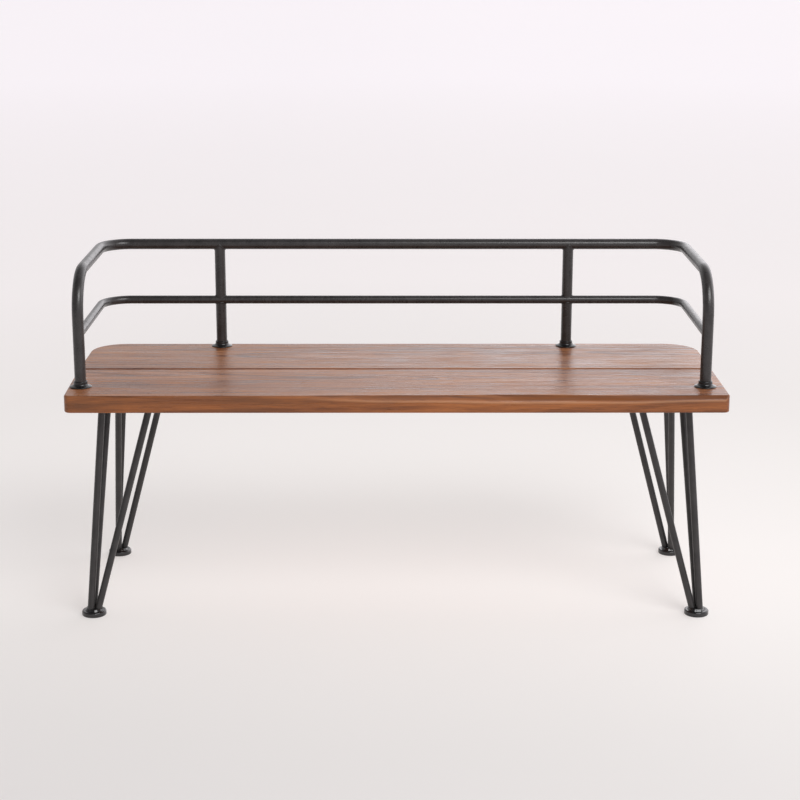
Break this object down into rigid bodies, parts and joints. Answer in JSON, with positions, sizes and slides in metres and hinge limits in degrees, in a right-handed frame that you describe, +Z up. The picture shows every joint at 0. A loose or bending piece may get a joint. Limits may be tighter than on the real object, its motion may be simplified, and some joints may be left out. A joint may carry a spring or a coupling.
{
  "type": "bench",
  "caption": "Long entryway bench: two-plank wooden seat, bent steel tube rail round the back and ends, splayed rod legs on small disc feet.",
  "frame": {"origin": "on the floor, under the middle of the seat's length and depth", "axes": "+X along the bench to the right as seen from the front, +Y to the back, +Z up"},
  "size_m": [1.285, 0.455, 0.6913],
  "materials": {
    "seat_wood": "stained hardwood, satin clear coat, long straight grain, softened edges",
    "batten_wood": "stained hardwood, matt",
    "frame_metal": "charcoal powder coat, semi-gloss",
    "flange_metal": "charcoal powder coat, glossier",
    "leg_metal": "charcoal powder coat, semi-gloss",
    "foot_metal": "charcoal powder coat, glossier",
    "fastener_steel": "zinc-plated steel"
  },
  "bodies": {
    "root": {"front_plank": "seat_wood", "rear_plank": "seat_wood", "batten_left": "batten_wood", "batten_middle": "batten_wood", "batten_right": "batten_wood", "upper_rail": "frame_metal", "lower_rail": "frame_metal", "rear_post_left": "frame_metal", "rear_post_right": "frame_metal", "flange_front_left": "flange_metal", "flange_front_right": "flange_metal", "flange_rear_left": "flange_metal", "flange_rear_right": "flange_metal", "rod_corner_front_left": "leg_metal", "rod_corner_front_right": "leg_metal", "rod_corner_rear_left": "leg_metal", "rod_corner_rear_right": "leg_metal", "rod_middle_front_left": "leg_metal", "rod_middle_front_right": "leg_metal", "rod_middle_rear_left": "leg_metal", "rod_middle_rear_right": "leg_metal", "rod_inner_front_left": "leg_metal", "rod_inner_front_right": "leg_metal", "rod_inner_rear_left": "leg_metal", "rod_inner_rear_right": "leg_metal", "leg_plate_front_left": "leg_metal", "leg_plate_front_right": "leg_metal", "leg_plate_rear_left": "leg_metal", "leg_plate_rear_right": "leg_metal", "foot_front_left": "foot_metal", "foot_front_right": "foot_metal", "foot_rear_left": "foot_metal", "foot_rear_right": "foot_metal", "leg_screws_front_left": "fastener_steel", "leg_screws_front_right": "fastener_steel", "leg_screws_rear_left": "fastener_steel", "leg_screws_rear_right": "fastener_steel", "batten_screws_left": "fastener_steel", "batten_screws_middle": "fastener_steel", "batten_screws_right": "fastener_steel", "post_bolts": "fastener_steel", "post_washers": "fastener_steel", "post_plugs": "fastener_steel"}
  },
  "joints": []
}
